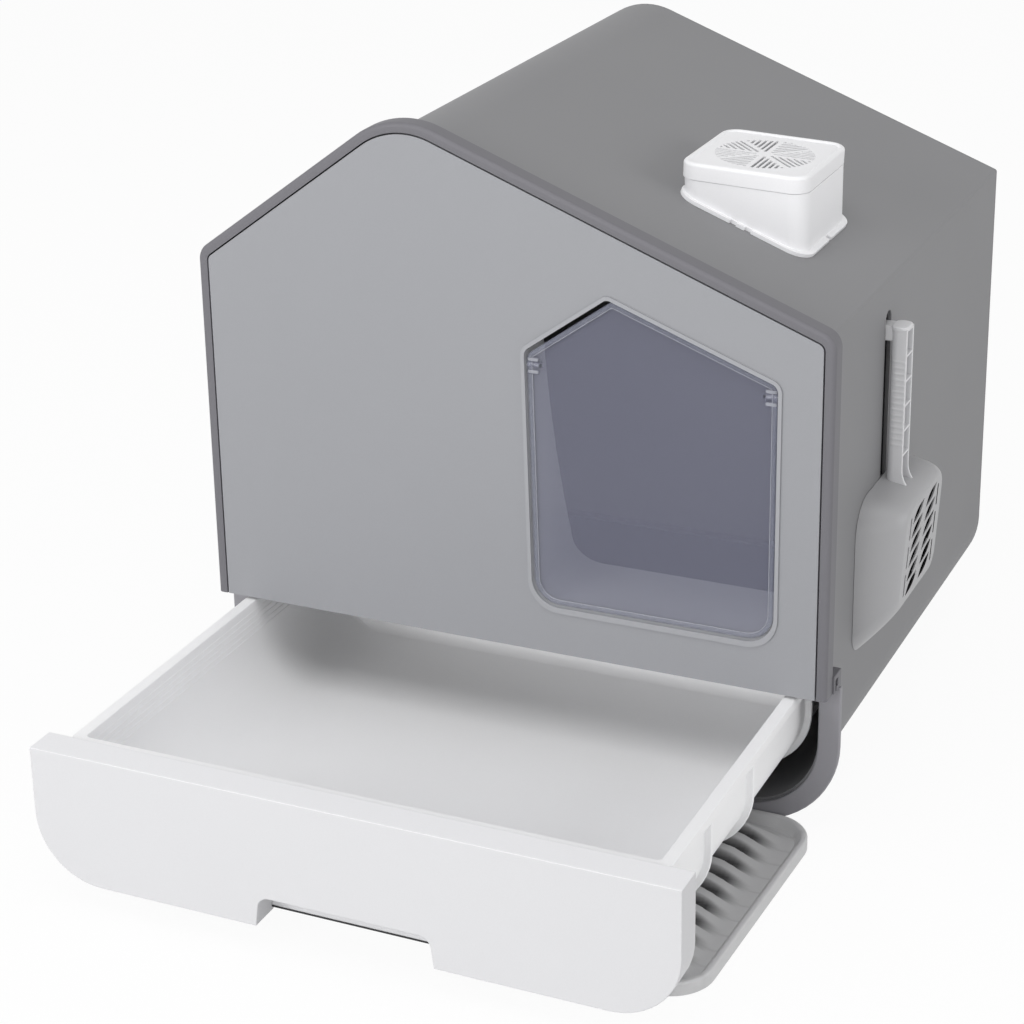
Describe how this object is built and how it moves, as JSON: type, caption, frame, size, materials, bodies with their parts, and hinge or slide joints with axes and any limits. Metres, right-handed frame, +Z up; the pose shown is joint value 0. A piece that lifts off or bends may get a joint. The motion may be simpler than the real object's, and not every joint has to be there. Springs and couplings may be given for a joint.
{
  "type": "covered litter box",
  "caption": "House-shaped covered litter box with a pull-out litter drawer, a clear swing flap, a roof deodorizer, a scoop hung on its side and a ribbed step mat.",
  "frame": {"origin": "middle of the base rim's underside, where the front of the box stands on the floor", "axes": "+Z up, +Y from the drawer's side towards the back, +X to the right seen from the front"},
  "size_m": [0.5148, 0.739, 0.5087],
  "materials": {
    "shell_plastic": "fine matte grey",
    "frame_plastic": "fine matte, darker grey",
    "panel_plastic": "fine matte light grey",
    "white_plastic": "satin white",
    "mat_plastic": "satin warm grey",
    "clear_plastic": "clear, faintly blue tinted",
    "pin_plastic": "polished",
    "scoop_plastic": "satin light grey",
    "filter_felt": "dark felt"
  },
  "bodies": {
    "house": {"outer_shell": "shell_plastic", "back_panel": "shell_plastic", "front_bezel": "frame_plastic", "latch_left": "frame_plastic", "latch_right": "frame_plastic", "base_rim": "frame_plastic", "front_panel": "panel_plastic", "entry_sleeve": "panel_plastic", "flap_pin_left": "pin_plastic", "flap_pin_right": "pin_plastic", "rail_left": "frame_plastic", "rail_right": "frame_plastic", "foot_left": "frame_plastic", "foot_right": "frame_plastic", "deodorizer_housing": "white_plastic", "deodorizer_pad": "filter_felt", "scoop_pocket": "shell_plastic"},
    "flap": {"door_flap": "clear_plastic"},
    "drawer": {"drawer_pan": "white_plastic", "drawer_front": "white_plastic"},
    "step_mat": {"mat_tray": "mat_plastic"},
    "lid": {"deodorizer_lid": "white_plastic"},
    "scoop": {"scoop": "scoop_plastic"}
  },
  "joints": [
    {"name": "drawer_slide", "type": "slide", "parent": "house", "child": "drawer", "axis": [0, 1, 0], "range_m": [-0.06, 0.268]},
    {"name": "flap_hinge", "type": "hinge", "parent": "house", "child": "flap", "pos_m": [0.1115, -0.023, 0.3415], "axis": [1, 0, 0], "range_deg": [-80, 80]},
    {"name": "lid_lift", "type": "slide", "parent": "house", "child": "lid", "axis": [0.0401, 0, 0.9992], "range_m": [0, 0.04]},
    {"name": "scoop_pull", "type": "slide", "parent": "house", "child": "scoop", "axis": [1, 0, 0], "range_m": [0, 0.06]},
    {"name": "mat_pull", "type": "slide", "parent": "house", "child": "step_mat", "axis": [0, -1, 0], "range_m": [0, 0.15]}
  ]
}
